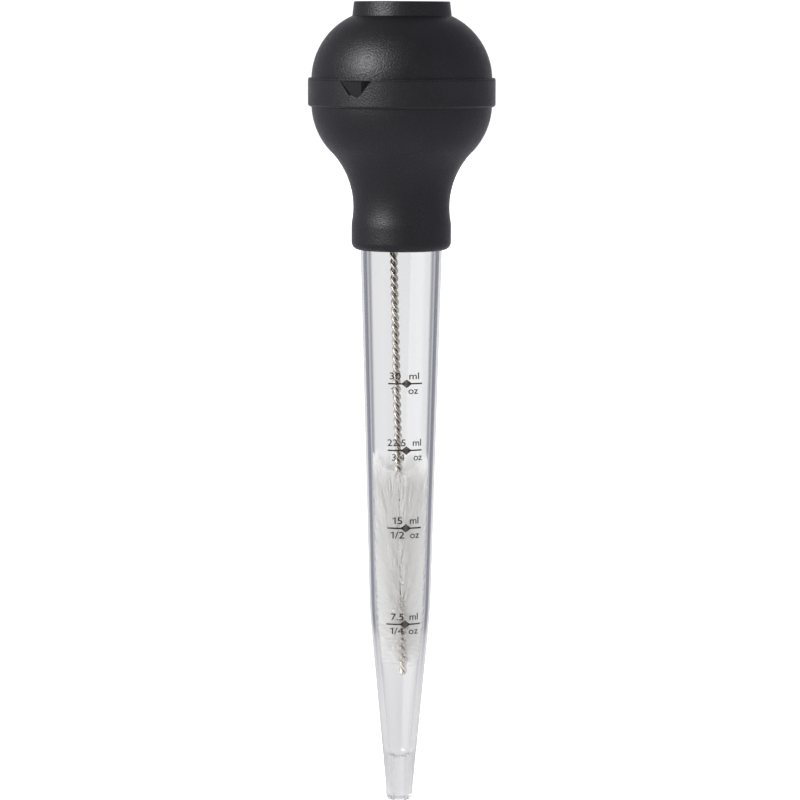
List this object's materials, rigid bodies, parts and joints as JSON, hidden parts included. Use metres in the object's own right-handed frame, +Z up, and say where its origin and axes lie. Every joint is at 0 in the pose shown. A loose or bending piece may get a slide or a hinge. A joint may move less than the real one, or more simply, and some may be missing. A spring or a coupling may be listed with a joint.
{
  "type": "bulb baster",
  "caption": "Kitchen baster: clear tapered tube with a printed volume scale, a silicone squeeze bulb with a removable cap, and a twisted-wire cleaning brush stored inside the tube.",
  "frame": {"origin": "centre of the tube's mouth, at the lowest point of the baster held tip down", "axes": "+Z up the tube's axis towards the flat end of the bulb; -Y is the side that carries the printed scale"},
  "size_m": [0.066, 0.066, 0.285],
  "materials": {
    "clear_plastic": "clear, polished",
    "silicone": "fine-grained matte silicone",
    "silicone_cap": "fine-grained matte silicone",
    "ink": "screen-printed ink",
    "steel_wire": "drawn stainless wire",
    "nylon_bristle": "translucent nylon filament"
  },
  "bodies": {
    "tube": {"tube": "clear_plastic", "scale_7_5_ml": "ink", "scale_15_ml": "ink", "scale_22_5_ml": "ink", "scale_30_ml": "ink"},
    "bulb": {"bulb_body": "silicone"},
    "cap": {"bulb_cap": "silicone_cap"},
    "brush": {"brush_wire": "steel_wire", "brush_bristles": "nylon_bristle"}
  },
  "joints": [
    {"name": "bulb_pull", "type": "slide", "parent": "tube", "child": "bulb", "axis": [0, 0, 1], "range_m": [0, 0.24]},
    {"name": "cap_lift", "type": "slide", "parent": "bulb", "child": "cap", "axis": [0, 0, 1], "range_m": [0, 0.045]},
    {"name": "brush_pull", "type": "slide", "parent": "tube", "child": "brush", "axis": [0, 0, 1], "range_m": [0, 0.18]}
  ],
  "couplings": [
    {"joint": "brush_pull", "follows": "bulb_pull", "ratio": 0.74}
  ]
}
